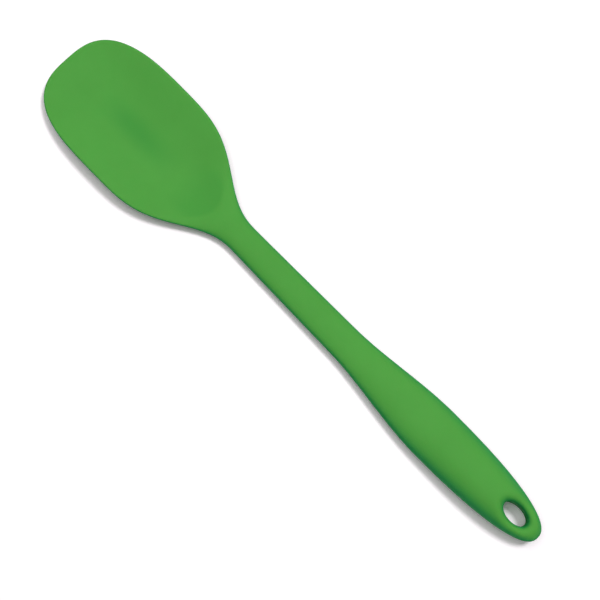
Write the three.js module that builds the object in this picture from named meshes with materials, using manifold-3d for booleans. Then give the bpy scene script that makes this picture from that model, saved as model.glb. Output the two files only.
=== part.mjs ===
// Green silicone spoon: one seamless silicone skin moulded over a stiff nylon core.
// Millimetres, +Z up. The spoon lies on its back along X, bowl towards -X, hanging hole towards +X.
import * as THREE from 'three';
import Module from 'manifold-3d';
import { LoftGeometry } from 'three/addons/geometries/LoftGeometry.js';
import { mergeVertices } from 'three/addons/utils/BufferGeometryUtils.js';

// Places along the spoon, measured from the tip of the bowl
const LENGTH = 270;
const BOWL_CENTRE = 42.3;
const NECK_BLEND = 60;
const HOLLOW_HEEL = 91;
const NECK = 107;
const CROWN_START = 155;
const SWELL_START = 163;
const SWELL_END = 212.7;
const GRIP_BELLY = 200;
const GRIP_CENTRE = 213.1;
const CROWN_END = 260;

// Widths of the outline, and how blunt its two ends are (2 is an ellipse, more is squarer)
const BOWL_WIDTH = 50.6;
const NECK_WIDTH = 12.6;
const SHAFT_WIDENING = 2.6;
const GRIP_WIDTH = 22.5;
const TIP_BLUNTNESS = 2.96;
const BUTT_BLUNTNESS = 2.43;
const HEEL_LATENESS = 1.4;

// Heights and thicknesses; the handle has a crown above its widest line and a keel below it
const HOLLOW_DEPTH = 5.3;
const HOLLOW_ROUND = 0.5;
const HEEL_STEEPNESS = 3.2;
const FLOOR_THICKNESS = 4.3;
const RIM_THICKNESS = 1.8;
const RIM_LAND = 1.8;
const TIP_DROP = 3.1;
const NECK_DIP = 1.2;
const BUTT_RISE = 2.9;
const NECK_CROWN = 3.3;
const BUTT_CROWN = 10.5;
const NECK_KEEL = 3.5;
const GRIP_KEEL = 5.6;
const SECTION_SQUARENESS = 2.2;
const REST_FLAT_DEPTH = 0.25;

// Hanging hole
const HOLE_LENGTH = 11.6;
const HOLE_WIDTH = 6.6;
const HOLE_FROM_END = 12.5;
const HOLE_LIP = 2.2;

// Nylon core, its cover of silicone and the gap drawn between the two
const BOWL_LIP = 9.5;
const HANDLE_SIDE_COVER = 2.2;
const BOWL_COVER = 1.25;
const HANDLE_COVER = 1.8;
const CORE_TIP = 14;
const CORE_END = 243;
const FIT = 0.3;

// Windows of the core that the silicone grows through: place, offset, length, width
const BOWL_WINDOW = 5;
const WINDOWS = [
  [24, 0, BOWL_WINDOW, BOWL_WINDOW],
  [35, 10, BOWL_WINDOW, BOWL_WINDOW],
  [35, -10, BOWL_WINDOW, BOWL_WINDOW],
  [58, 10, BOWL_WINDOW, BOWL_WINDOW],
  [58, -10, BOWL_WINDOW, BOWL_WINDOW],
  [70, 0, BOWL_WINDOW, BOWL_WINDOW],
  [124, 0, 18, 3],
  [156, 0, 18, 3],
  [191, 0, 20, 6],
  [216, 0, 20, 6],
];

// Plugs that close the holes left by the pins that held the core in the tool: name, place, offset
const PLUG_DIAMETER = 3.4;
const SOCKET_DEPTH = 2;
const PLATE_LIMIT = 3;
const PLATE_PIN_DEPTH = 0.8;
const BOWL_PLUG_PLACE = 46;
const BOWL_PLUG_OFFSET = 9;
const HEEL_PLUG_PLACE = 84;
const SHAFT_PLUG_PLACE = 140;
const GRIP_FRONT_PLUG_PLACE = 173;
const GRIP_REAR_PLUG_PLACE = 236;
const PLUGS = [
  ['pin_plug_bowl_left', BOWL_PLUG_PLACE, BOWL_PLUG_OFFSET],
  ['pin_plug_bowl_right', BOWL_PLUG_PLACE, -BOWL_PLUG_OFFSET],
  ['pin_plug_heel', HEEL_PLUG_PLACE, 0],
  ['pin_plug_shaft', SHAFT_PLUG_PLACE, 0],
  ['pin_plug_grip_front', GRIP_FRONT_PLUG_PLACE, 0],
  ['pin_plug_grip_rear', GRIP_REAR_PLUG_PLACE, 0],
];

const wasm = await Module();
wasm.setup();

const clamp = THREE.MathUtils.clamp;
const lerp = THREE.MathUtils.lerp;
const ease = (s, from, to) => THREE.MathUtils.smoothstep(s, from, to);

// Height of a superellipse quarter of reach 1 and height 1, at a share of its reach
const bulge = (share, power) => Math.max(0, 1 - clamp(share, 0, 1) ** power) ** (1 / power);

// Half width of the spoon's outline
function halfWidth(s) {
  const bowl = BOWL_WIDTH / 2;
  const neck = NECK_WIDTH / 2;
  const grip = GRIP_WIDTH / 2;
  if (s <= BOWL_CENTRE) {
    return bowl * bulge((BOWL_CENTRE - s) / BOWL_CENTRE, TIP_BLUNTNESS);
  }
  if (s <= NECK) {
    const share = ((s - BOWL_CENTRE) / (NECK - BOWL_CENTRE)) ** HEEL_LATENESS;
    return lerp(bowl, neck, THREE.MathUtils.smootherstep(share, 0, 1));
  }
  if (s <= GRIP_CENTRE) {
    const taper = (SHAFT_WIDENING / 2) * ((s - NECK) / (GRIP_CENTRE - NECK));
    const swell = grip - neck - SHAFT_WIDENING / 2;
    return neck + taper + swell * ease(s, SWELL_START, SWELL_END);
  }
  return grip * bulge((s - GRIP_CENTRE) / (LENGTH - GRIP_CENTRE), BUTT_BLUNTNESS);
}

// How far out a point lies between the centre line (0) and the outline (1)
function outness(s, y) {
  const side = Math.abs(y);
  if (s < BOWL_CENTRE) {
    const along = (BOWL_CENTRE - s) / BOWL_CENTRE;
    const across = side / (BOWL_WIDTH / 2);
    return (along ** TIP_BLUNTNESS + across ** TIP_BLUNTNESS) ** (1 / TIP_BLUNTNESS);
  }
  if (s > GRIP_CENTRE) {
    const along = (s - GRIP_CENTRE) / (LENGTH - GRIP_CENTRE);
    const across = side / (GRIP_WIDTH / 2);
    return (along ** BUTT_BLUNTNESS + across ** BUTT_BLUNTNESS) ** (1 / BUTT_BLUNTNESS);
  }
  return side / halfWidth(s);
}

// Share of the handle in the section: 0 in the bowl, 1 from the neck on
const neckTop = (s) => ease(s, NECK_BLEND, NECK);
const neckBelow = (s) => ease(s, BOWL_CENTRE, NECK);
const section = (out) => bulge(out, SECTION_SQUARENESS);

// The crown grows from the shaft to the butt; the keel keeps the underside of the grip level
const buttRise = (s) => BUTT_RISE * ease(s, GRIP_BELLY, LENGTH);
const crown = (s) => lerp(NECK_CROWN, BUTT_CROWN, ease(s, CROWN_START, CROWN_END));
const keel = (s) => lerp(NECK_KEEL, GRIP_KEEL, ease(s, NECK, GRIP_BELLY)) + buttRise(s);

// Heights of the rim and of the handle's widest line, with the belly and the grip resting on the table
const RIM_HEIGHT = FLOOR_THICKNESS + HOLLOW_DEPTH - RIM_THICKNESS / 2;
const BELLY_DEPTH = RIM_HEIGHT - RIM_THICKNESS / 2 + REST_FLAT_DEPTH;
const HANDLE_HEIGHT = GRIP_KEEL - REST_FLAT_DEPTH;

// Height of the widest line of the spoon, where the two halves of the tool meet
function edgeHeight(s) {
  const tip = TIP_DROP * (1 - ease(s, 0, BOWL_CENTRE));
  const neck = NECK_DIP * (1 - ease(s, NECK, GRIP_BELLY));
  return lerp(RIM_HEIGHT - tip, HANDLE_HEIGHT - neck + buttRise(s), ease(s, BOWL_CENTRE, NECK));
}

// Round of the rim: a quarter circle over half the rim's thickness
function rimRound(s, y) {
  const out = outness(s, y);
  const reach = s < BOWL_CENTRE ? Math.hypot(BOWL_CENTRE - s, y) / Math.max(out, 1e-6) : halfWidth(s);
  const share = clamp(((1 - out) * reach) / (RIM_THICKNESS / 2), 0, 1);
  return (RIM_THICKNESS / 2) * Math.sqrt(1 - (1 - share) ** 2);
}

// Rise of the hollow's floor from its middle (0) to its edge (1): a V with a rounded point
function valley(share) {
  const depth = Math.hypot(1, HOLLOW_ROUND) - HOLLOW_ROUND;
  return (Math.hypot(share, HOLLOW_ROUND) - HOLLOW_ROUND) / depth;
}

// Depth of the hollow of the bowl below its rim
function hollow(s, y) {
  const width = BOWL_WIDTH / 2 - RIM_LAND;
  if (s < BOWL_CENTRE) {
    const along = (BOWL_CENTRE - s) / (BOWL_CENTRE - RIM_LAND);
    const across = Math.abs(y) / width;
    const out = (along ** TIP_BLUNTNESS + across ** TIP_BLUNTNESS) ** (1 / TIP_BLUNTNESS);
    return HOLLOW_DEPTH * Math.max(0, 1 - valley(out));
  }
  const left = 1 - ((s - BOWL_CENTRE) / (HOLLOW_HEEL - BOWL_CENTRE)) ** HEEL_STEEPNESS;
  if (left <= 0) {
    return 0;
  }
  const across = Math.abs(y) / (width * left ** 0.75);
  return HOLLOW_DEPTH * left * Math.max(0, 1 - valley(across));
}

// Upper and lower surface of the spoon
function top(s, y) {
  const round = section(outness(s, y)) * crown(s);
  return edgeHeight(s) + lerp(rimRound(s, y), round, neckTop(s)) - hollow(s, y);
}

function bottom(s, y) {
  const out = outness(s, y);
  const belly = rimRound(s, y) + BELLY_DEPTH * Math.max(0, 1 - out ** 2);
  const round = section(out) * keel(s);
  return edgeHeight(s) - lerp(belly, round, neckBelow(s));
}

// Places of the sections: a fan round each end, cross lines between the two fan centres
function stations(tip, end, half, [tipCount, heelCount, shaftCount, gripCount, endCount]) {
  const list = [];
  const crossLines = (from, to, count) => {
    for (let i = 0; i < count; i++) {
      const s = lerp(from, to, i / count);
      list.push({ centre: s, s, y: half(s) });
    }
  };
  for (let i = 0; i < tipCount; i++) {
    const turn = (Math.PI / 2) * (i / tipCount);
    const along = Math.cos(turn) ** (2 / TIP_BLUNTNESS);
    const across = Math.sin(turn) ** (2 / TIP_BLUNTNESS);
    list.push({ centre: BOWL_CENTRE, s: lerp(BOWL_CENTRE, tip, along), y: half(BOWL_CENTRE) * across });
  }
  crossLines(BOWL_CENTRE, NECK, heelCount);
  crossLines(NECK, SWELL_START, shaftCount);
  crossLines(SWELL_START, GRIP_CENTRE, gripCount);
  for (let i = 0; i <= endCount; i++) {
    const turn = (Math.PI / 2) * (1 - i / endCount);
    const along = Math.cos(turn) ** (2 / BUTT_BLUNTNESS);
    const across = i === endCount ? 0 : Math.sin(turn) ** (2 / BUTT_BLUNTNESS);
    list.push({ centre: GRIP_CENTRE, s: lerp(GRIP_CENTRE, end, along), y: half(GRIP_CENTRE) * across });
  }
  return list;
}

// Solid between an upper and a lower surface, over the outline given by its stations
function loft(list, shares, upper, lower) {
  const across = [...shares.slice(1).reverse().map((share) => -share), ...shares];
  const sections = list.map((station) => {
    const point = (share, height) => {
      const s = lerp(station.centre, station.s, Math.abs(share));
      const y = station.y * share;
      return new THREE.Vector3(s, y, height(s, y));
    };
    const over = across.map((share) => point(share, upper));
    const under = across.map((share) => point(share, lower)).reverse();
    return [...over, ...under].reverse();
  });
  return toSolid(new LoftGeometry(sections, { closed: true }));
}

// Closed solid of a geometry, without the triangles that fold to nothing at the fan centres
function toSolid(geometry) {
  const plain = new THREE.BufferGeometry();
  plain.setAttribute('position', geometry.attributes.position);
  plain.setIndex(geometry.index);
  const merged = mergeVertices(plain, 1e-4);
  const index = merged.index.array;
  const corners = [];
  for (let i = 0; i < index.length; i += 3) {
    const [a, b, c] = [index[i], index[i + 1], index[i + 2]];
    if (a !== b && b !== c && c !== a) {
      corners.push(a, b, c);
    }
  }
  return new wasm.Manifold(new wasm.Mesh({
    numProp: 3,
    vertProperties: new Float32Array(merged.attributes.position.array),
    triVerts: new Uint32Array(corners),
  }));
}

// Upright round-ended bar, used for windows, pins and their holes
function upright(s, y, length, width, low, high) {
  const run = Math.max(0, length - width) / 2;
  const shape = new THREE.Shape();
  shape.absarc(run, 0, width / 2, -Math.PI / 2, Math.PI / 2);
  shape.absarc(-run, 0, width / 2, Math.PI / 2, (3 * Math.PI) / 2);
  const geometry = new THREE.ExtrudeGeometry(shape, {
    depth: high - low,
    bevelEnabled: false,
    curveSegments: 4,
  });
  geometry.translate(s, y, low);
  return toSolid(geometry);
}

// Oval bore of the hanging hole, opening out at both faces
function holeBore() {
  const s = LENGTH - HOLE_FROM_END;
  const faces = [bottom(s, 0), top(s, 0)];
  const levels = [
    [faces[0] - 3, HOLE_LIP],
    [faces[0], HOLE_LIP],
    [faces[0] + HOLE_LIP * 0.35, HOLE_LIP * 0.4],
    [faces[0] + HOLE_LIP, 0],
    [faces[1] - HOLE_LIP, 0],
    [faces[1] - HOLE_LIP * 0.35, HOLE_LIP * 0.4],
    [faces[1], HOLE_LIP],
    [faces[1] + 3, HOLE_LIP],
  ];
  const sections = levels.map(([z, flare]) => {
    const oval = new THREE.EllipseCurve(s, 0, HOLE_LENGTH / 2 + flare, HOLE_WIDTH / 2 + flare);
    return oval.getPoints(24).slice(0, 24).map((p) => new THREE.Vector3(p.x, p.y, z));
  });
  return toSolid(new LoftGeometry(sections, { closed: true, capStart: true, capEnd: true }));
}

// Core: set in from the outline, covered with silicone above and below, larger by grow all round
const coreShare = (s) => ease(s, NECK_BLEND, NECK);
const cover = (s) => lerp(BOWL_COVER, HANDLE_COVER, coreShare(s));
const coreHalf = (s) => halfWidth(s) - lerp(BOWL_LIP, HANDLE_SIDE_COVER, coreShare(s));

function coreBody(grow) {
  const half = (s) => coreHalf(s) + grow;
  const list = stations(CORE_TIP - grow, CORE_END + grow, half, [7, 10, 4, 6, 5]);
  return loft(
    list,
    [0, 0.35, 0.7, 1],
    (s, y) => top(s, y) - cover(s) + grow,
    (s, y) => bottom(s, y) + cover(s) - grow,
  );
}

const body = loft(
  stations(0, LENGTH, halfWidth, [11, 15, 5, 8, 10]),
  [0, 0.25, 0.48, 0.68, 0.84, 0.93, 0.98, 1],
  top,
  bottom,
).trimByPlane([0, 0, 1], 0);

const LOW = -5;
const HIGH = 40;
const windows = WINDOWS.map(([s, y, length, width]) => upright(s, y, length, width, LOW, HIGH));
const keys = WINDOWS.map(([s, y, length, width]) => {
  return upright(s, y, length - 2 * FIT, width - 2 * FIT, LOW, HIGH);
});

// A pin stands in a hole through the thin bowl plate, or a short way into the thick handle core
const coreLow = (s, y) => bottom(s, y) + cover(s);
const coreHigh = (s, y) => top(s, y) - cover(s);
const isPlate = (s, y) => coreHigh(s, y) - coreLow(s, y) < PLATE_LIMIT;
const pinTop = (s, y) => coreLow(s, y) + (isPlate(s, y) ? PLATE_PIN_DEPTH : SOCKET_DEPTH);
const wide = PLUG_DIAMETER + 2 * FIT;
const sockets = PLUGS.map(([, s, y]) => {
  return upright(s, y, wide, wide, LOW, isPlate(s, y) ? HIGH : pinTop(s, y) + FIT);
});
const pinHoles = PLUGS.map(([, s, y]) => upright(s, y, wide, wide, LOW, pinTop(s, y)));

const core = coreBody(0).subtract(wasm.Manifold.union([...windows, ...sockets]));
const cavity = coreBody(FIT).subtract(wasm.Manifold.union(keys));
const skin = body.subtract(wasm.Manifold.union([cavity, holeBore(), ...pinHoles]));
const plugs = PLUGS.map(([, s, y]) => {
  return upright(s, y, PLUG_DIAMETER, PLUG_DIAMETER, LOW, pinTop(s, y)).intersect(body);
});

// Node of a solid, moved so that the middle of the spoon's length stands on the origin
function node(name, solid, material) {
  const { vertProperties, triVerts } = solid.getMesh();
  const geometry = new THREE.BufferGeometry();
  geometry.setAttribute('position', new THREE.BufferAttribute(vertProperties, 3));
  geometry.setIndex(new THREE.BufferAttribute(triVerts, 1));
  geometry.translate(-LENGTH / 2, 0, 0);
  geometry.computeVertexNormals();
  const mesh = new THREE.Mesh(geometry, material);
  mesh.name = name;
  return mesh;
}

const silicone = new THREE.MeshStandardMaterial({ color: 0x50a045, roughness: 0.55, metalness: 0 });
const nylon = new THREE.MeshStandardMaterial({ color: 0xe4dfd0, roughness: 0.6, metalness: 0 });

const spoon = new THREE.Group();
spoon.add(node('silicone_skin', skin, silicone));
spoon.add(node('nylon_core', core, nylon));
PLUGS.forEach(([name], i) => spoon.add(node(name, plugs[i], silicone)));

export default spoon;
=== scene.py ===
# Green silicone spoon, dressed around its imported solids: a matt silicone skin with its parting line,
# its rolled-in hanging hole and the plugs on its back, over the hidden nylon core.
import math

import bmesh
import bpy
import numpy as np
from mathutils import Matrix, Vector


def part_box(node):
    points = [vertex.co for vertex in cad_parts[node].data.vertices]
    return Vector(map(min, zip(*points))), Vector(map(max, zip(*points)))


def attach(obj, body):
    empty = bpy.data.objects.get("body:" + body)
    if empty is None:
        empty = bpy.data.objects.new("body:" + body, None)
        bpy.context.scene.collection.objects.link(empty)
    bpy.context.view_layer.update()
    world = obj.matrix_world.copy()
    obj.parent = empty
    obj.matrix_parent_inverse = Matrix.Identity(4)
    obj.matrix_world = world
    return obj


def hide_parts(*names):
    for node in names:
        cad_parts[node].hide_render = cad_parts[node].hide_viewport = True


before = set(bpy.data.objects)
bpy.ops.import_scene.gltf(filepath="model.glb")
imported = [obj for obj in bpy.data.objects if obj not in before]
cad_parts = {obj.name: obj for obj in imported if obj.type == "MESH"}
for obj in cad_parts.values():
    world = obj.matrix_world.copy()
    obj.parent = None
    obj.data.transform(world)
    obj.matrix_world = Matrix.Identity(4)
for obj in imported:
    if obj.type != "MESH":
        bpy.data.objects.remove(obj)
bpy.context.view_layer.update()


# ---------------------------------------------------------------------------------------------------
# Nylon core: a stiff glass-filled moulding that runs from the bowl to just short of the hanging hole.
# The silicone covers it on every side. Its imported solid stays, with a matt glass-filled finish.
# ---------------------------------------------------------------------------------------------------
class Wire:
    """One output socket of a shader node. Sums and products add Math nodes, and node() adds any other."""

    def __init__(self, tree, socket=None):
        self.tree = tree
        self.socket = socket

    def node(self, kind, settings=None, values=None):
        """A node of this kind: its settings first, then a value or a wire for each named socket."""
        made = self.tree.nodes.new(kind)
        for name, value in (settings or {}).items():
            setattr(made, name, value)
        for name, value in (values or {}).items():
            if isinstance(value, Wire):
                self.tree.links.new(value.socket, made.inputs[name])
            else:
                made.inputs[name].default_value = value
        return Wire(self.tree, made.outputs[0] if len(made.outputs) else None)

    def out(self, name):
        """Another output of the same node."""
        return Wire(self.tree, self.socket.node.outputs[name])

    def math(self, operation, first, second):
        return self.node("ShaderNodeMath", {"operation": operation}, {0: first, 1: second})

    def __add__(self, other):
        return self.math("ADD", self, other)

    def __mul__(self, other):
        return self.math("MULTIPLY", self, other)

    def __rsub__(self, other):
        return self.math("SUBTRACT", other, self)

    __radd__ = __add__
    __rmul__ = __mul__

    def rise(self, start, end):
        """0 below start, 1 above end, with an S curve between the two."""
        return self.node(
            "ShaderNodeMapRange",
            {"interpolation_type": "SMOOTHSTEP"},
            {"Value": self, "From Min": start, "From Max": end},
        )

    def grain(self, scale, detail=2.0):
        """Noise of about 0.25 to 0.75 on this wire's coordinates, with scale lumps to the metre."""
        values = {"Vector": self, "Scale": scale, "Detail": detail}
        return self.node("ShaderNodeTexNoise", {"noise_dimensions": "3D"}, values)

    def tint(self, dark, light):
        """Colour between dark and light, by this wire. Either may be a wire itself."""
        dark, light = (c if isinstance(c, Wire) else (*c, 1.0) for c in (dark, light))
        return self.node("ShaderNodeMix", {"data_type": "RGBA"}, {0: self, 6: dark, 7: light}).out(2)


def new_material(name):
    """An empty node material and a wire to add nodes with."""
    material = bpy.data.materials.new(name)
    material.use_nodes = True
    material.node_tree.nodes.clear()
    return material, Wire(material.node_tree)


def finish_material(wire, values):
    """Closes a material with one Principled shader of these values."""
    shader = wire.node("ShaderNodeBsdfPrincipled", None, values)
    wire.node("ShaderNodeOutputMaterial", None, {"Surface": shader})


NYLON_DARK = (0.70, 0.67, 0.57)
NYLON_LIGHT = (0.82, 0.79, 0.69)
NYLON_ROUGHNESS = (0.55, 0.2)
FIBRE_SCALE = 2600.0
FIBRE_DETAIL = 3.0
FIBRE_STRETCH = (0.2, 1.0, 1.0)
FIBRE_STRENGTH = 0.2
FIBRE_DEPTH = 0.0001
GRAIN_RANGE = (0.3, 0.7)

nylon, wire = new_material("glass_filled_nylon")
place = wire.node("ShaderNodeTexCoord").out("Object")
stretched = {"Vector": place, "Scale": FIBRE_STRETCH}
fibres = place.node("ShaderNodeMapping", {"vector_type": "POINT"}, stretched)
fibre_grain = fibres.grain(FIBRE_SCALE, FIBRE_DETAIL)
nylon_bump = wire.node(
    "ShaderNodeBump", None, {"Strength": FIBRE_STRENGTH, "Distance": FIBRE_DEPTH, "Height": fibre_grain}
)
finish_material(wire, {
    "Base Color": fibre_grain.rise(*GRAIN_RANGE).tint(NYLON_DARK, NYLON_LIGHT),
    "Roughness": NYLON_ROUGHNESS[0] + NYLON_ROUGHNESS[1] * fibre_grain,
    "Normal": nylon_bump,
})
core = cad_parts["nylon_core"]
core.data.materials.clear()
core.data.materials.append(nylon)


# ---------------------------------------------------------------------------------------------------
# Silicone skin: one seamless pressing round the core, in green satin-matt silicone, with a shallow
# bowl, a slim shaft, a swelling grip and an oval hanging hole. The tool closed along its widest line.
# Lengths are in millimetres from the tip of the bowl until the mesh is written.
# ---------------------------------------------------------------------------------------------------
MILLIMETRE = 0.001
low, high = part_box("silicone_skin")
LENGTH = (high.x - low.x) / MILLIMETRE
BOWL_HALF = (high.y - low.y) / 2 / MILLIMETRE
BOWL_CENTRE = 42.3
NECK_BLEND = 60.0
HOLLOW_HEEL = 91.0
NECK = 107.0
CROWN_START = 155.0
SWELL_START = 163.0
SWELL_END = 212.7
GRIP_BELLY = 200.0
GRIP_CENTRE = 213.1
CROWN_END = 260.0
NECK_HALF = 6.3
SHAFT_GAIN = 1.3
GRIP_HALF = 11.25
TIP_BLUNTNESS = 2.96
BUTT_BLUNTNESS = 2.43
HEEL_LATENESS = 1.4
HOLLOW_DEPTH = 5.3
HOLLOW_LAND = 1.8
HOLLOW_SOFTNESS = 0.2
HOLLOW_FADE = 16.0
VALLEY_ROUND = 0.5
HEEL_STEEPNESS = 3.2
HEEL_POINT = 0.02
HEEL_NARROWING = 0.75
FLOOR_THICKNESS = 4.3
RIM_HALF = 0.9
TIP_DROP = 3.1
NECK_DIP = 1.2
BUTT_RISE = 2.9
NECK_CROWN = 3.3
BUTT_CROWN = 10.5
NECK_KEEL = 3.5
GRIP_KEEL = 5.6
SECTION_SQUARENESS = 2.2
REST_DEPTH = 0.25
REST_SOFTNESS = 0.05
HOLE_CENTRE = LENGTH - 12.5
HOLE_HALF_LENGTH = 5.8
HOLE_HALF_WIDTH = 3.3
FACE_LIP = 4.4
BACK_LIP = 2.2
PARTING_BEAD = 0.08
OUTLINE_SNAP = 1e-5
OUTLINE_STEP = 0.001
TINY = 1e-9


def ease(s, start, end):
    """S curve from 0 at start to 1 at end: 3t^2 - 2t^3."""
    t = np.clip((s - start) / (end - start), 0.0, 1.0)
    return t * t * (3.0 - 2.0 * t)


def blend(a, b, share):
    return a + (b - a) * share


def bulge(share, power):
    """Height of a superellipse quarter of reach 1: (1 - share^power)^(1/power)."""
    return np.maximum(0.0, 1.0 - np.clip(share, 0.0, 1.0) ** power) ** (1.0 / power)


def soft_positive(value, softness):
    """Follows max(0, value), rounded over the softness: (v + sqrt(v^2 + e^2)) / 2."""
    return (value + np.sqrt(value * value + softness * softness)) / 2.0


def half_width(s):
    """Half the outline's width: blunt tip, S-shaped heel, widening shaft, swelling grip, blunt butt."""
    tip = BOWL_HALF * bulge((BOWL_CENTRE - s) / BOWL_CENTRE, TIP_BLUNTNESS)
    heel_share = np.clip((s - BOWL_CENTRE) / (NECK - BOWL_CENTRE), 0.0, 1.0) ** HEEL_LATENESS
    heel_shade = blend(BOWL_HALF, NECK_HALF, heel_share**3 * (10.0 - 15.0 * heel_share + 6.0 * heel_share**2))
    taper = SHAFT_GAIN * (s - NECK) / (GRIP_CENTRE - NECK)
    swell = (GRIP_HALF - NECK_HALF - SHAFT_GAIN) * ease(s, SWELL_START, SWELL_END)
    butt = GRIP_HALF * bulge((s - GRIP_CENTRE) / (LENGTH - GRIP_CENTRE), BUTT_BLUNTNESS)
    zones = [s <= BOWL_CENTRE, s <= NECK, s <= GRIP_CENTRE]
    return np.select(zones, [tip, heel_shade, NECK_HALF + taper + swell], butt)


def end_outness(s, y, centre, reach, half, power):
    """0 at an end's centre, 1 on its superellipse: (along^power + across^power)^(1/power)."""
    along = np.clip((s - centre) / reach, 0.0, None)
    return (along**power + (np.abs(y) / half) ** power) ** (1.0 / power)


def outness(s, y):
    """0 on the centre line, 1 on the outline, and exactly 1 within the snap of it."""
    tip = end_outness(-s, y, -BOWL_CENTRE, BOWL_CENTRE, BOWL_HALF, TIP_BLUNTNESS)
    butt = end_outness(s, y, GRIP_CENTRE, LENGTH - GRIP_CENTRE, GRIP_HALF, BUTT_BLUNTNESS)
    across = np.abs(y) / np.maximum(half_width(s), TINY)
    out = np.select([s < BOWL_CENTRE, s > GRIP_CENTRE], [tip, butt], across)
    return np.where(np.abs(out - 1.0) < OUTLINE_SNAP, 1.0, out)


def crown(s):
    """Height of the handle above its widest line, growing from the shaft to the butt."""
    return blend(NECK_CROWN, BUTT_CROWN, ease(s, CROWN_START, CROWN_END))


def keel(s):
    """Depth of the handle below its widest line, which keeps the underside of the grip level."""
    return blend(NECK_KEEL, GRIP_KEEL, ease(s, NECK, GRIP_BELLY)) + BUTT_RISE * ease(s, GRIP_BELLY, LENGTH)


RIM_HEIGHT = FLOOR_THICKNESS + HOLLOW_DEPTH - RIM_HALF
BELLY_DEPTH = RIM_HEIGHT - RIM_HALF + REST_DEPTH
HANDLE_HEIGHT = GRIP_KEEL - REST_DEPTH


def parting_height(s):
    """Height of the widest line: lower at the tip and along the handle than at the rim, up at the butt."""
    tip = TIP_DROP * (1.0 - ease(s, 0.0, BOWL_CENTRE))
    neck = NECK_DIP * (1.0 - ease(s, NECK, GRIP_BELLY))
    butt = BUTT_RISE * ease(s, GRIP_BELLY, LENGTH)
    return blend(RIM_HEIGHT - tip, HANDLE_HEIGHT - neck + butt, ease(s, BOWL_CENTRE, NECK))


def rim_round(s, y):
    """Quarter circle over half the rim's thickness, by the distance in from the outline."""
    out = outness(s, y)
    reach = np.where(s < BOWL_CENTRE, np.hypot(BOWL_CENTRE - s, y) / np.maximum(out, TINY), half_width(s))
    share = np.clip((1.0 - out) * reach / RIM_HALF, 0.0, 1.0)
    return RIM_HALF * np.sqrt(1.0 - (1.0 - share) ** 2)


def valley(share):
    """Hull-shaped fall from the middle (0) to the edge (1): a V whose point is rounded off."""
    peak = math.sqrt(1.0 + VALLEY_ROUND**2) - VALLEY_ROUND
    return (np.sqrt(share * share + VALLEY_ROUND**2) - VALLEY_ROUND) / peak


def hollow(s, y):
    """Depth of the bowl: hull-shaped across, blunt at the tip, a rounded V at the heel, 0 at the rim."""
    half = BOWL_HALF - HOLLOW_LAND
    front_out = end_outness(-s, y, -BOWL_CENTRE, BOWL_CENTRE - HOLLOW_LAND, half, TIP_BLUNTNESS)
    share = np.clip((s - BOWL_CENTRE) / (HOLLOW_HEEL - BOWL_CENTRE), 0.0, None)
    left = 1.0 - share**HEEL_STEEPNESS
    kept = np.maximum(left, HEEL_POINT)
    rear = left - kept * valley(np.abs(y) / (half * kept**HEEL_NARROWING))
    depth = np.where(s < BOWL_CENTRE, 1.0 - valley(front_out), rear)
    fade = 1.0 - np.clip(outness(s, y), 0.0, 1.0) ** HOLLOW_FADE
    return HOLLOW_DEPTH * soft_positive(depth, HOLLOW_SOFTNESS) * fade


def lip_fall(s, y, lip):
    """Fall of a face into the hanging hole: a quarter circle over the lip, by the distance to the bore."""
    along = s - HOLE_CENTRE
    out = np.hypot(along / HOLE_HALF_LENGTH, y / HOLE_HALF_WIDTH)
    gap = np.hypot(along, y) * (1.0 - 1.0 / np.maximum(out, TINY))
    share = np.clip(gap / lip, 0.0, 1.0)
    return lip * (1.0 - np.sqrt(1.0 - (1.0 - share) ** 2))


def face_height(s, y):
    """Upper face: rim and hollow in the bowl, a squarish oval along the handle, the lip at the hole."""
    round_top = bulge(outness(s, y), SECTION_SQUARENESS) * crown(s)
    above = blend(rim_round(s, y), round_top, ease(s, NECK_BLEND, NECK))
    return parting_height(s) + above - hollow(s, y) - lip_fall(s, y, FACE_LIP)


def back_height(s, y):
    """Lower face: a belly under the bowl, a squarish oval along the handle, flat where it rests."""
    out = outness(s, y)
    belly = rim_round(s, y) + BELLY_DEPTH * np.maximum(0.0, 1.0 - out * out)
    round_low = bulge(out, SECTION_SQUARENESS) * keel(s)
    below = blend(belly, round_low, ease(s, BOWL_CENTRE, NECK))
    return soft_positive(parting_height(s) - below, REST_SOFTNESS) + lip_fall(s, y, BACK_LIP)


FAN_CENTRE = 36.0
HOLE_RING_START = 242.0
FAN_STATIONS = 60
CROSS_LINES = 240
ACROSS = 80
BUTT_STATIONS = 70
HOLE_RINGS = 26
BORE_ROWS = 6
END_SAMPLES = 4000
MERGE_DISTANCE = 2e-6


def even_points(line, count):
    """Points evenly spaced along a line, by its running length."""
    run = np.concatenate([[0.0], np.cumsum(np.hypot(*np.diff(line, axis=0).T))])
    at = np.linspace(0.0, run[-1], count)
    return np.stack([np.interp(at, run, line[:, axis]) for axis in (0, 1)], axis=1)


def end_line(centre, reach, half, power, stop):
    """Outline of a blunt end, from its middle to the place where it has come back by stop."""
    turn = np.linspace(0.0, math.acos((1.0 - stop / reach) ** (power / 2.0)), END_SAMPLES)
    along = np.cos(turn) ** (2.0 / power)
    return np.stack([centre + reach * along, half * np.sin(turn) ** (2.0 / power)], axis=1)


# Places across the spoon from -1 to 1, closer together towards the outline
shares = np.sin(np.linspace(-0.5 * np.pi, 0.5 * np.pi, ACROSS + 1))

# Tip: rays from the fan centre to points of the blunt outline, as far as the first cross line
tip_line = end_line(BOWL_CENTRE, -BOWL_CENTRE, BOWL_HALF, TIP_BLUNTNESS, -FAN_CENTRE)
tip_line = even_points(tip_line, FAN_STATIONS)
tip_s = FAN_CENTRE + np.outer(tip_line[:, 0] - FAN_CENTRE, np.abs(shares))
tip_y = np.outer(tip_line[:, 1], shares)

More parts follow.
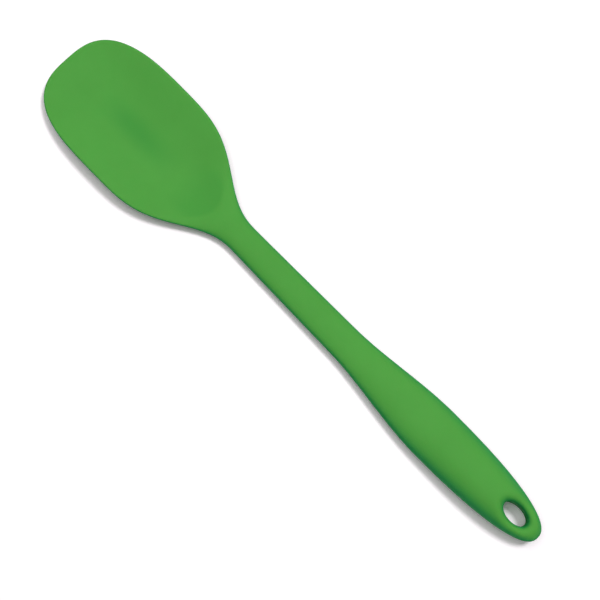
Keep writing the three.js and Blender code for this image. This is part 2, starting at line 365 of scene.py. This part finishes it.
# Bowl, shaft and grip: cross lines from the fan centre to the ring of the hanging hole
line_s = np.linspace(FAN_CENTRE, HOLE_RING_START, CROSS_LINES)
cross_s = np.repeat(line_s[:, None], ACROSS + 1, axis=1)
cross_y = np.outer(half_width(line_s), shares)

# Butt: rings that grow from the oval bore to the blunt outline and the last cross line
butt_stop = LENGTH - HOLE_RING_START
butt_line = end_line(GRIP_CENTRE, LENGTH - GRIP_CENTRE, GRIP_HALF, BUTT_BLUNTNESS, butt_stop)
butt_line = even_points(butt_line, BUTT_STATIONS)
last_line = np.stack([cross_s[-1], cross_y[-1]], axis=1)[::-1][1:-1]
loop = np.concatenate([butt_line[::-1], butt_line[1:] * (1.0, -1.0), last_line[::-1]])
spoke = loop - (HOLE_CENTRE, 0.0)
bore_edge = spoke / np.hypot(spoke[:, 0] / HOLE_HALF_LENGTH, spoke[:, 1] / HOLE_HALF_WIDTH)[:, None]
ring_share = (1.0 - np.cos(np.linspace(0.0, np.pi, HOLE_RINGS))) / 2.0
rings = (HOLE_CENTRE, 0.0) + blend(bore_edge, spoke, ring_share[:, None, None])
ring_s = np.concatenate([rings[..., 0], rings[:, :1, 0]], axis=1)
ring_y = np.concatenate([rings[..., 1], rings[:, :1, 1]], axis=1)


def skin_points(s, y, height):
    """Points of a face in metres. The outline goes out by the bead, along the slope of outness there."""
    along = outness(s + OUTLINE_STEP, y) - outness(s - OUTLINE_STEP, y)
    across = outness(s, y + OUTLINE_STEP) - outness(s, y - OUTLINE_STEP)
    bead = PARTING_BEAD * (outness(s, y) == 1.0) / np.maximum(np.hypot(along, across), TINY)
    x = s + along * bead - LENGTH / 2.0
    return np.stack([x, y + across * bead, height(s, y)], axis=-1) * MILLIMETRE


bore_s = np.repeat(ring_s[:1], BORE_ROWS, axis=0)
bore_y = np.repeat(ring_y[:1], BORE_ROWS, axis=0)
bore_share = np.linspace(0.0, 1.0, BORE_ROWS)[:, None]
bore_wall = skin_points(
    bore_s, bore_y, lambda s, y: blend(back_height(s, y), face_height(s, y), bore_share)
)
skin_grids = [
    skin_points(s, y, height)
    for s, y in ((tip_s, tip_y), (cross_s, cross_y), (ring_s, ring_y))
    for height in (face_height, back_height)
] + [bore_wall]


def closed_piece(name, grids):
    """One mesh piece from point grids: quads between grid neighbours, joined where grids meet."""
    corners, quads, start = [], [], 0
    for grid in grids:
        rows, columns = grid.shape[:2]
        index = start + np.arange(rows * columns).reshape(rows, columns)
        ring = [index[:-1, :-1], index[1:, :-1], index[1:, 1:], index[:-1, 1:]]
        quads.append(np.stack(ring, axis=-1).reshape(-1, 4))
        corners.append(grid.reshape(-1, 3))
        start += rows * columns
    mesh = bpy.data.meshes.new(name)
    mesh.from_pydata(np.concatenate(corners).tolist(), [], np.concatenate(quads).tolist())
    work = bmesh.new()
    work.from_mesh(mesh)
    bmesh.ops.remove_doubles(work, verts=work.verts, dist=MERGE_DISTANCE)
    bmesh.ops.recalc_face_normals(work, faces=work.faces)
    work.to_mesh(mesh)
    work.free()
    mesh.shade_smooth()
    piece = bpy.data.objects.new(name, mesh)
    bpy.context.scene.collection.objects.link(piece)
    return piece


# The places of the tones are in metres from the middle of the spoon, as the material reads them
SILICONE_DEEP = (0.076, 0.329, 0.050)
SILICONE_BRIGHT = (0.083, 0.351, 0.056)
# Painted shade on steep walls: a darker, more bluish green
SILICONE_WALL_SHADE = (0.010, 0.285, 0.061)
# Painted shade in the bowl: a darker streak along its deepest line and a darker patch on its heel wall
SILICONE_PAINTED_SHADE = (0.058, 0.305, 0.046)
SHADE_STREAK = ((-0.116, -0.096), (-0.090, -0.066))
SHADE_STREAK_HALF = 0.0085
HEEL_SHADE = ((-0.068, -0.053), (-0.0470, -0.0445))
HEEL_SHADE_SIDE = (0.008, 0.014)
HEEL_SHADE_CURVE = 55.0
HEEL_SHADE_STRENGTH = 0.55
FACE_RISE = (0.002, 0.003)
# Steepness over which the painted wall shade comes in
WALL_SHADE_RISE = (0.3, 0.97)
CLOUD_SCALE = 45.0
CLOUD_DETAIL = 3.0
CLOUD_WEIGHT = 0.7
FINE_SCALE = 3200.0
FINE_STRENGTH = 0.12
FINE_DEPTH = 0.00004
SILICONE_ROUGHNESS = (0.62, 0.14)
SILICONE_IOR = 1.41
SILICONE_SPECULAR = 0.15
SCATTER_WEIGHT = 0.35
SCATTER_RADIUS = (0.3, 1.0, 0.6)
SCATTER_SCALE = 0.0025


def finish_silicone(wire, colour, cloud, fine, more):
    """Closes a satin-matt silicone: the cloud varies its roughness, and the fine grain its bump."""
    bump = wire.node(
        "ShaderNodeBump", None, {"Strength": FINE_STRENGTH, "Distance": FINE_DEPTH, "Height": fine}
    )
    finish_material(wire, {
        "Base Color": colour,
        "Roughness": SILICONE_ROUGHNESS[0] + SILICONE_ROUGHNESS[1] * cloud,
        "Normal": bump,
        "IOR": SILICONE_IOR,
        "Specular IOR Level": SILICONE_SPECULAR,
        **more,
    })


silicone, wire = new_material("green_silicone")
place = wire.node("ShaderNodeTexCoord").out("Object")
cloud = place.grain(CLOUD_SCALE, CLOUD_DETAIL)
fine = place.grain(FINE_SCALE)
mottle = CLOUD_WEIGHT * cloud + (1.0 - CLOUD_WEIGHT) * fine
tone = mottle.rise(*GRAIN_RANGE).tint(SILICONE_DEEP, SILICONE_BRIGHT)

# Painted shade on the face: a darker streak along the deepest line of the bowl, and a darker patch with a
# curved end on the wall of its heel. Each is a product of rises, and the last one keeps both off the flat
# underside
spot = place.node("ShaderNodeSeparateXYZ", None, {0: place})
sideways = wire.math("ABSOLUTE", spot.out("Y"), 0.0)
shade_streak = spot.out("X").rise(*SHADE_STREAK[0]) * (1.0 - spot.out("X").rise(*SHADE_STREAK[1]))
shade_streak = shade_streak * (1.0 - sideways.rise(0.0, SHADE_STREAK_HALF))
reach = spot.out("X") + HEEL_SHADE_CURVE * (sideways * sideways)
heel_shade = spot.out("X").rise(*HEEL_SHADE[0]) * (1.0 - reach.rise(*HEEL_SHADE[1]))
heel_shade = heel_shade * (1.0 - sideways.rise(*HEEL_SHADE_SIDE))
tone = ((shade_streak + HEEL_SHADE_STRENGTH * heel_shade) * spot.out("Z").rise(*FACE_RISE)).tint(tone, SILICONE_PAINTED_SHADE)

# Painted shade: a darker, more bluish tone on steep walls, such as the handle's flanks and the wall of the
# hanging hole
facing = wire.node("ShaderNodeNewGeometry").out("Normal")
level = wire.math("ABSOLUTE", facing.node("ShaderNodeSeparateXYZ", None, {0: facing}).out("Z"), 0.0)
tone = (1.0 - level.rise(*WALL_SHADE_RISE)).tint(tone, SILICONE_WALL_SHADE)
finish_silicone(wire, tone, cloud, fine, {
    "Subsurface Weight": SCATTER_WEIGHT,
    "Subsurface Radius": SCATTER_RADIUS,
    "Subsurface Scale": SCATTER_SCALE,
})

skin = closed_piece("moulded_skin", skin_grids)
skin.data.materials.append(silicone)
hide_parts("silicone_skin")
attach(skin, "root")


# ---------------------------------------------------------------------------------------------------
# Pin plugs: small buttons of a slightly deeper silicone, pressed and bonded into the holes that the
# core's pins left in the back. They are flush with the skin, with a fine gap and a broken edge round each.
# ---------------------------------------------------------------------------------------------------
PLUG_PROUD = 0.03
PLUG_EDGE = 0.25
PLUG_GAP = 0.15
PLUG_TURNS = 48
PLUG_FACE_RINGS = 7
PLUG_EDGE_RINGS = 7
PLUG_CLOUD_SCALE = 900.0
PIN_HOLE_START = -1.0
HOLE_EDGE_ANGLE = 70.0
PLUG_DEEP = (0.056, 0.262, 0.040)
PLUG_BRIGHT = (0.064, 0.288, 0.046)

plug_silicone, wire = new_material("plug_silicone")
place = wire.node("ShaderNodeTexCoord").out("Object")
plug_cloud = place.grain(PLUG_CLOUD_SCALE)
plug_tone = plug_cloud.rise(*GRAIN_RANGE).tint(PLUG_DEEP, PLUG_BRIGHT)
finish_silicone(wire, plug_tone, plug_cloud, place.grain(FINE_SCALE), {})

turn = np.linspace(0.0, 2.0 * np.pi, PLUG_TURNS + 1)
half_step = turn + np.pi / PLUG_TURNS
bend = np.linspace(0.0, 0.5 * np.pi, PLUG_EDGE_RINGS)
face_sink = np.concatenate([np.zeros(PLUG_FACE_RINGS), PLUG_EDGE * (1.0 - np.cos(bend))])
pin_holes = []
for plug_name in [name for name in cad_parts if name.startswith("pin_plug")]:
    low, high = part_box(plug_name)
    plug_s = (low.x + high.x) / 2.0 / MILLIMETRE + LENGTH / 2.0
    plug_y = (low.y + high.y) / 2.0 / MILLIMETRE
    plug_top = high.z / MILLIMETRE
    plug_radius = (high.y - low.y) / 2.0 / MILLIMETRE

    # End face: rings from the middle out, then a quarter circle for the broken edge
    face_radius = np.concatenate([
        np.linspace(0.0, plug_radius - PLUG_EDGE, PLUG_FACE_RINGS + 1)[:-1],
        plug_radius - PLUG_EDGE + PLUG_EDGE * np.sin(bend),
    ])
    s = plug_s + np.outer(face_radius, np.cos(turn))
    y = plug_y + np.outer(face_radius, np.sin(turn))
    z = np.maximum(0.0, back_height(s, y) - PLUG_PROUD) + face_sink[:, None]
    end_face = np.stack([s - LENGTH / 2.0, y, z], axis=-1)
    top_ring = end_face[-1:].copy()
    top_ring[..., 2] = plug_top
    top_middle = np.broadcast_to((plug_s - LENGTH / 2.0, plug_y, plug_top), top_ring.shape)
    plug = closed_piece(
        plug_name.replace("pin_plug", "plug"),
        [np.concatenate([end_face, top_ring, top_middle]) * MILLIMETRE],
    )
    plug.data.materials.append(plug_silicone)
    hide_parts(plug_name)
    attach(plug, "root")

    # Pin hole: a round bar, a gap larger than its plug, from below the skin to the plug's inner end
    hole_radius = plug_radius + PLUG_GAP
    bar_radius = np.array([0.0, hole_radius, hole_radius, 0.0])[:, None]
    bar_height = np.array([PIN_HOLE_START, PIN_HOLE_START, plug_top, plug_top])[:, None] + 0.0 * turn
    bar_x = plug_s - LENGTH / 2.0 + bar_radius * np.cos(half_step)
    bar_y = plug_y + bar_radius * np.sin(half_step)
    pin_hole = closed_piece("pin_hole", [np.stack([bar_x, bar_y, bar_height], axis=-1) * MILLIMETRE])
    cut = skin.modifiers.new("pin_hole", "BOOLEAN")
    cut.operation = "DIFFERENCE"
    cut.object = pin_hole
    pin_holes.append(pin_hole)

# The holes are cut into the skin's mesh at once, and keep sharp edges
skin.data = bpy.data.meshes.new_from_object(skin.evaluated_get(bpy.context.evaluated_depsgraph_get()))
skin.modifiers.clear()
skin.data.set_sharp_from_angle(angle=math.radians(HOLE_EDGE_ANGLE))
for pin_hole in pin_holes:
    bpy.data.objects.remove(pin_hole)


# ---------------------------------------------------------------------------------------------------
# Studio: a plain white table, a soft key lamp high on the +Y side and a little towards the handle,
# a broad ceiling lamp that leans towards the bowl, a faint even sky, and the camera above the spoon.
# ---------------------------------------------------------------------------------------------------
TABLE_SIZE = 6.0
TABLE_SEEN = (1.12, 1.055, 1.10)
TABLE_BOUNCE = (0.34, 0.5, 0.52)
TABLE_FADE = (0.3, 0.8)
SKY_SHARE = 0.12
KEY_SHARE = 0.49
KEY_SIZE = 0.35
KEY_DISTANCE = 1.6
KEY_LEAN = 20.0
KEY_AZIMUTH = 70.0
CEILING_SHARE = 0.44
CEILING_SIZE = 1.4
CEILING_DISTANCE = 1.4
CEILING_LEAN = 8.0
CEILING_AZIMUTH = 180.0

bpy.context.scene.view_settings.view_transform = "Standard"

table_mesh = bpy.data.meshes.new("table")
edge = TABLE_SIZE / 2.0
table_mesh.from_pydata(
    [(-edge, -edge, 0.0), (edge, -edge, 0.0), (edge, edge, 0.0), (-edge, edge, 0.0)], [], [(0, 1, 2, 3)]
)
table = bpy.data.objects.new("table", table_mesh)
bpy.context.scene.collection.objects.link(table)
white, wire = new_material("white_table")


def seen_rays(wire):
    """1 on the rays that show the background itself: camera, glossy and transmission rays."""
    path = wire.node("ShaderNodeLightPath")
    mirrored = wire.math("MAXIMUM", path.out("Is Glossy Ray"), path.out("Is Transmission Ray"))
    return wire.math("MAXIMUM", path.out("Is Camera Ray"), mirrored)


seen = seen_rays(wire)
paint = wire.node("ShaderNodeBsdfDiffuse", None, {"Color": seen.tint(TABLE_BOUNCE, TABLE_SEEN)})
backdrop = wire.node("ShaderNodeEmission", None, {"Color": (1.0, 1.0, 1.0, 1.0), "Strength": 1.0})
place = wire.node("ShaderNodeTexCoord").out("Object")
distance = wire.node("ShaderNodeVectorMath", {"operation": "LENGTH"}, {0: place}).out("Value")
far = seen * distance.rise(*TABLE_FADE)
table_shader = wire.node("ShaderNodeMixShader", None, {0: far, 1: paint, 2: backdrop})
wire.node("ShaderNodeOutputMaterial", None, {"Surface": table_shader})
table.data.materials.append(white)

world = bpy.data.worlds.new("sky")
world.use_nodes = True
world.node_tree.nodes.clear()
wire = Wire(world.node_tree)
sky = wire.node("ShaderNodeBackground", None, {
    "Color": (1.0, 1.0, 1.0, 1.0),
    "Strength": SKY_SHARE + (1.0 - SKY_SHARE) * seen_rays(wire),
})
wire.node("ShaderNodeOutputWorld", None, {"Surface": sky})
bpy.context.scene.world = world


def round_lamp(name, share, size, distance, lean, azimuth):
    """Disk lamp that leans from the zenith to an azimuth from +X. A white table under it shows its share.

    Power: share times pi^2 times the square of the way from the lamp's edge to the table.
    """
    angle, turned = math.radians(lean), math.radians(azimuth)
    side = math.sin(angle)
    towards = Vector((side * math.cos(turned), side * math.sin(turned), math.cos(angle)))
    data = bpy.data.lights.new(name, "AREA")
    data.shape = "DISK"
    data.size = size
    data.energy = share * math.pi**2 * (distance**2 + size**2 / 4.0)
    lamp = bpy.data.objects.new(name, data)
    lamp.location = distance * towards
    lamp.rotation_euler = towards.to_track_quat("Z", "Y").to_euler()
    bpy.context.scene.collection.objects.link(lamp)


round_lamp("key_lamp", KEY_SHARE, KEY_SIZE, KEY_DISTANCE, KEY_LEAN, KEY_AZIMUTH)
round_lamp("ceiling_lamp", CEILING_SHARE, CEILING_SIZE, CEILING_DISTANCE, CEILING_LEAN, CEILING_AZIMUTH)

CAMERA_AZIMUTH = 46.02
CAMERA_ELEVATION = 79.83
CAMERA_DISTANCE = 0.4984
CAMERA_AIM = (0.005, -0.0012, 0.008)
CAMERA_LENS = 75.36
CAMERA_SENSOR = 36.0
CAMERA_CLIP = 0.01

azimuth = math.radians(CAMERA_AZIMUTH)
elevation = math.radians(CAMERA_ELEVATION)
back = Vector((
    math.sin(azimuth) * math.cos(elevation),
    -math.cos(azimuth) * math.cos(elevation),
    math.sin(elevation),
))
camera_data = bpy.data.cameras.new("camera")
camera_data.lens = CAMERA_LENS
camera_data.sensor_width = CAMERA_SENSOR
camera_data.clip_start = CAMERA_CLIP
camera = bpy.data.objects.new("camera", camera_data)
camera.location = Vector(CAMERA_AIM) + CAMERA_DISTANCE * back
camera.rotation_mode = "QUATERNION"
camera.rotation_quaternion = (-back).to_track_quat("-Z", "Y")
bpy.context.scene.collection.objects.link(camera)
bpy.context.scene.camera = camera
